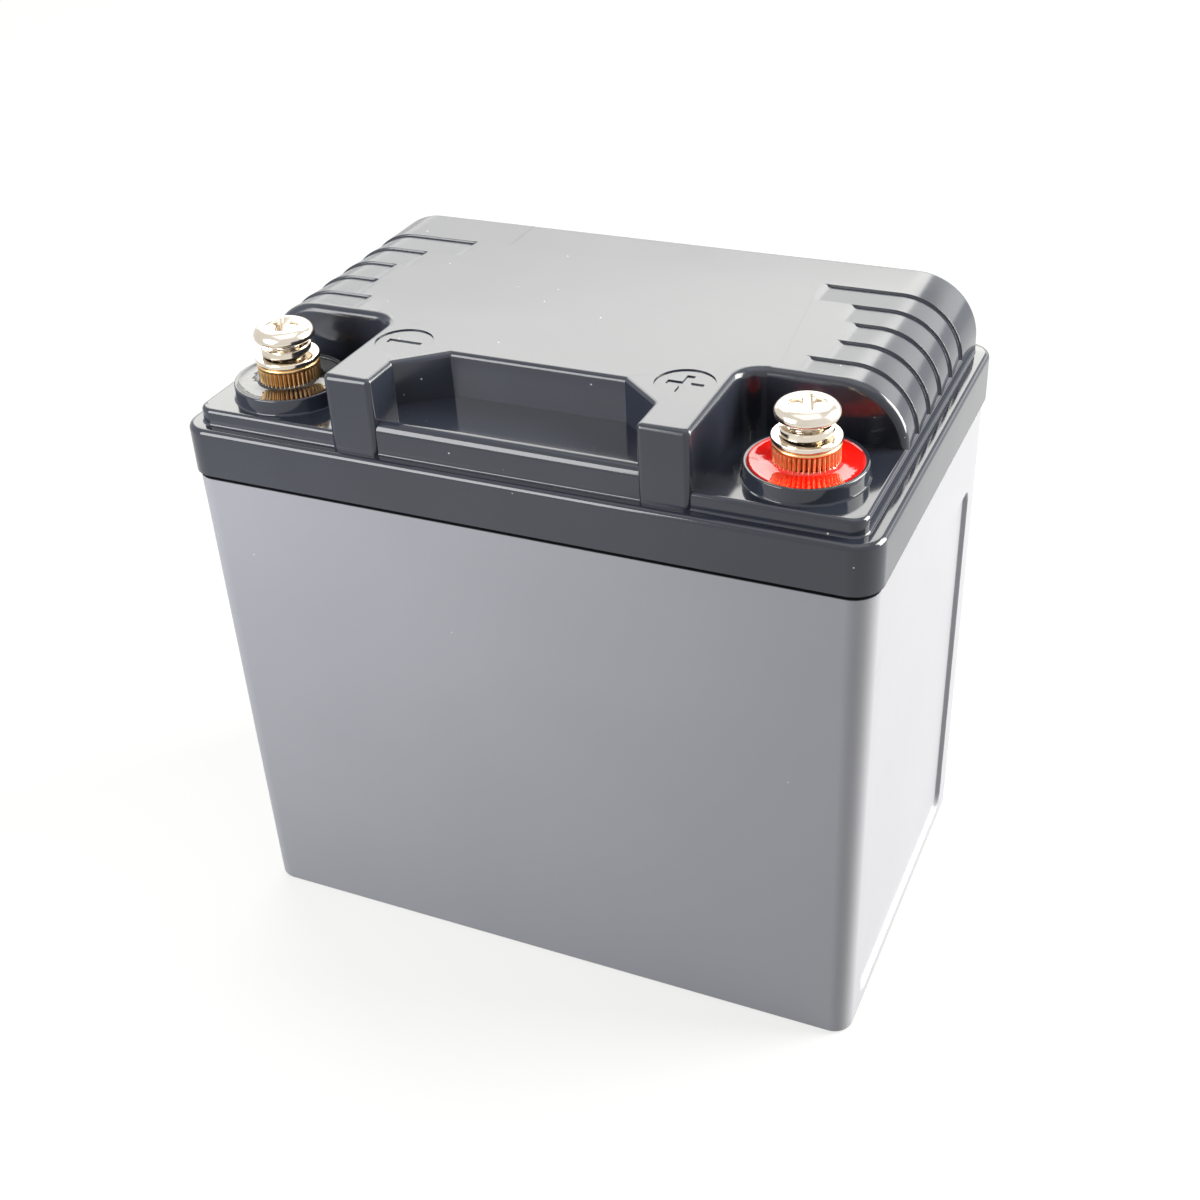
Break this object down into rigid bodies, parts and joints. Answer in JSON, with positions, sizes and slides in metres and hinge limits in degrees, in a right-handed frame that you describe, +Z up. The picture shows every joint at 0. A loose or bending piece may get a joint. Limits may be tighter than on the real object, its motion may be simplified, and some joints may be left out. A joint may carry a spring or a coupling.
{
  "type": "battery pack",
  "caption": "Sealed rectangular battery pack with screw terminals in two corner pockets of a stepped lid, a finger recess between them and finned ends.",
  "frame": {"origin": "centre of the foot, on the surface the pack stands on", "axes": "+Z up; +X along the long side towards the positive terminal; -Y is the front with the finger recess and the terminals"},
  "size_m": [0.112, 0.069, 0.1081],
  "materials": {
    "case_plastic": "satin moulded plastic, grey",
    "lid_plastic": "satin black moulded plastic",
    "sealant": "matte sealing compound",
    "brass": "bright machined brass",
    "red_resin": "poured gloss resin",
    "black_resin": "poured gloss resin",
    "nickel": "bright nickel plate",
    "tinned_copper": "dull tin plate",
    "cell_steel": "nickel plated steel",
    "sleeve_film": "shrink film",
    "holder_plastic": "moulded plastic",
    "strip_nickel": "rolled nickel",
    "fibre": "pressed fibre sheet",
    "foam": "closed cell foam",
    "white_tape": "adhesive foam pad",
    "board_green": "solder mask",
    "chip_black": "moulded chip body",
    "shunt_metal": "ground alloy",
    "connector": "moulded plastic",
    "red_insulation": "soft insulation",
    "black_insulation": "soft insulation",
    "orange_insulation": "soft insulation"
  },
  "bodies": {
    "pack": {"lower_case": "case_plastic", "lid": "lid_plastic", "lid_sealant": "sealant", "positive_insert": "brass", "negative_insert": "brass", "positive_resin": "red_resin", "negative_resin": "black_resin", "positive_lug": "tinned_copper", "negative_lug": "tinned_copper", "lug_screws": "nickel", "cells_1": "cell_steel", "cells_2": "cell_steel", "cells_3": "cell_steel", "cells_4": "cell_steel", "cell_sleeves": "sleeve_film", "lower_holder": "holder_plastic", "upper_holder": "holder_plastic", "strip_negative": "strip_nickel", "strip_1_2": "strip_nickel", "strip_2_3": "strip_nickel", "strip_3_4": "strip_nickel", "strip_positive": "strip_nickel", "insulation_sheet": "fibre", "base_foam": "foam", "end_foams": "foam", "side_foams": "foam", "hold_down_foam": "foam", "board_tape": "white_tape", "board": "board_green", "board_mosfets": "chip_black", "board_chips": "chip_black", "board_shunts": "shunt_metal", "balance_header": "connector", "balance_plug": "connector", "balance_leads": "orange_insulation", "positive_lead": "red_insulation", "negative_lead": "black_insulation", "board_lead": "black_insulation"},
    "positive_washers": {"positive_flat_washer": "nickel", "positive_spring_washer": "nickel"},
    "positive_screw": {"positive_screw": "nickel"},
    "negative_washers": {"negative_flat_washer": "nickel", "negative_spring_washer": "nickel"},
    "negative_screw": {"negative_screw": "nickel"}
  },
  "joints": [
    {"name": "positive_lift", "type": "slide", "parent": "pack", "child": "positive_washers", "axis": [0, 0, 1], "range_m": [0, 0.0088]},
    {"name": "positive_turn", "type": "hinge", "parent": "positive_washers", "child": "positive_screw", "pos_m": [0.042, -0.0223, 0.1], "axis": [0, 0, 1], "range_deg": [0, 3960]},
    {"name": "negative_lift", "type": "slide", "parent": "pack", "child": "negative_washers", "axis": [0, 0, 1], "range_m": [0, 0.0088]},
    {"name": "negative_turn", "type": "hinge", "parent": "negative_washers", "child": "negative_screw", "pos_m": [-0.042, -0.0223, 0.1], "axis": [0, 0, 1], "range_deg": [0, 3960]}
  ],
  "couplings": [
    {"joint": "positive_turn", "follows": "positive_lift", "rad_per_m": 7854},
    {"joint": "negative_turn", "follows": "negative_lift", "rad_per_m": 7854}
  ]
}
